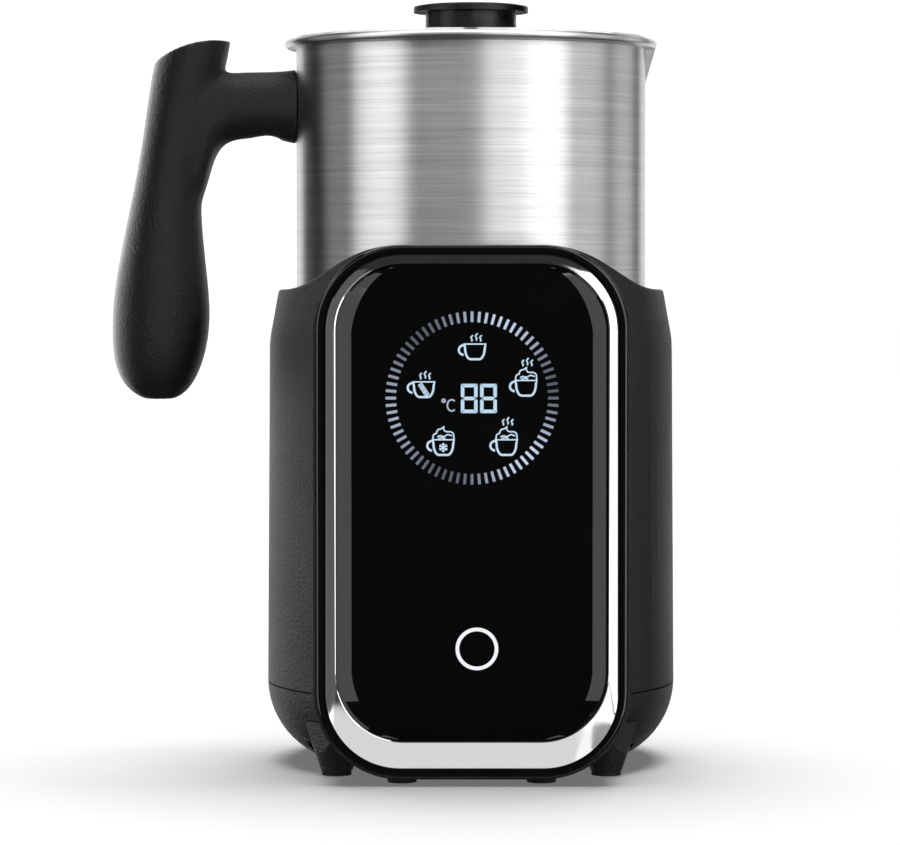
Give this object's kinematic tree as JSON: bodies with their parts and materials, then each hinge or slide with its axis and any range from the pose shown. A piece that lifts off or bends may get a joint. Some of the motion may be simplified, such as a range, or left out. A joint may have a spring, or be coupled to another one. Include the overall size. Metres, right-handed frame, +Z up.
{
  "type": "milk frother",
  "caption": "Free-standing milk frother: steel jug with side handle, spout, knobbed lid and magnetic whisk, lifted out of an induction-heated base with a glossy display panel.",
  "frame": {"origin": "on the axis of the jug and the base, level with the surface that the feet stand on", "axes": "+Z up, -Y towards the display, the handle at -X and the spout at +X"},
  "size_m": [0.1683, 0.1276, 0.226],
  "materials": {
    "matte_body": "fine spark-eroded texture",
    "handle_grip": "fine matte grain, soft sheen",
    "gloss_black": "piano black",
    "bezel_chrome": "mirror plated",
    "black_glass": "tempered, black backed",
    "brushed_steel": "fine horizontal brushing",
    "induction_steel": "ferritic, turned",
    "clear_lid": "clear",
    "silicone": "translucent silicone",
    "pad_rubber": "matte",
    "knob_plastic": "satin black",
    "whisk_plastic": "food-safe moulding",
    "well_plastic": "smooth heat-resistant moulding",
    "inner_plastic": "natural moulding",
    "mask_plastic": "white light mask",
    "circuit_board": "solder mask",
    "display_light": "ice-blue light",
    "copper_coil": "enamelled litz wire",
    "ferrite": "sintered",
    "magnet_plate": "nickel plated",
    "zinc_steel": "zinc plated",
    "heatsink_aluminium": "extruded",
    "part_black": "moulded"
  },
  "bodies": {
    "base": {"upper_housing": "matte_body", "lower_cover": "matte_body", "front_carrier": "matte_body", "foot_pads": "pad_rubber", "front_frame": "gloss_black", "chrome_bezel": "bezel_chrome", "glass_panel": "black_glass", "display_mask": "mask_plastic", "touch_pad": "copper_coil", "display_board": "circuit_board", "display_leds": "display_light", "digit_display": "display_light", "jug_well": "well_plastic", "induction_coil": "copper_coil", "coil_carrier": "inner_plastic", "ferrite_bars": "ferrite", "coil_screws": "zinc_steel", "motor_bracket": "inner_plastic", "motor_can": "zinc_steel", "motor_screws": "zinc_steel", "bracket_screws": "zinc_steel", "probe_cap": "part_black", "probe_spring": "zinc_steel", "power_board": "circuit_board", "board_screws": "zinc_steel", "capacitors": "part_black", "film_capacitor": "part_black", "heatsink": "heatsink_aluminium", "filter_choke": "copper_coil", "mains_connector": "inner_plastic", "fan_frame": "part_black", "cord_gland": "pad_rubber", "housing_screws": "zinc_steel"},
    "jug": {"jug_shell": "brushed_steel", "jug_base_disc": "induction_steel", "whisk_post": "brushed_steel", "handle": "handle_grip", "handle_bracket": "brushed_steel", "handle_screw": "zinc_steel"},
    "lid": {"lid_plate": "clear_lid", "lid_seal": "silicone", "lid_knob": "knob_plastic", "knob_screw": "zinc_steel"},
    "whisk_bush": {"whisk_bush": "whisk_plastic"},
    "whisk": {"whisk_hub": "whisk_plastic", "whisk_coil": "brushed_steel", "whisk_magnets": "magnet_plate"},
    "drive_rotor": {"motor_shaft": "zinc_steel", "magnet_rotor": "part_black", "drive_magnets": "magnet_plate"},
    "fan_rotor": {"fan_rotor": "part_black"},
    "temp_probe": {"temp_probe": "zinc_steel"}
  },
  "joints": [
    {"name": "jug_lift", "type": "slide", "parent": "base", "child": "jug", "axis": [0, 0, 1], "range_m": [0, 0.075]},
    {"name": "lid_lift", "type": "slide", "parent": "jug", "child": "lid", "axis": [0, 0, 1], "range_m": [0, 0.03]},
    {"name": "whisk_lift", "type": "slide", "parent": "jug", "child": "whisk_bush", "axis": [0, 0, 1], "range_m": [0, 0.016]},
    {"name": "whisk_spin", "type": "hinge", "parent": "whisk_bush", "child": "whisk", "pos_m": [0, 0, 0.108], "axis": [0, 0, 1], "continuous": true},
    {"name": "motor_spin", "type": "hinge", "parent": "base", "child": "drive_rotor", "pos_m": [0, 0, 0.088], "axis": [0, 0, 1], "continuous": true},
    {"name": "fan_spin", "type": "hinge", "parent": "base", "child": "fan_rotor", "pos_m": [0, 0.022, 0.012], "axis": [0, 0, 1], "continuous": true},
    {"name": "probe_travel", "type": "slide", "parent": "base", "child": "temp_probe", "axis": [0, 0, 1], "range_m": [-0.0015, 0], "stiffness_N_per_m": 300, "springref_m": 0.003, "deforming": ["probe_spring"]}
  ],
  "couplings": [
    {"joint": "whisk_spin", "follows": "motor_spin", "ratio": 1}
  ]
}
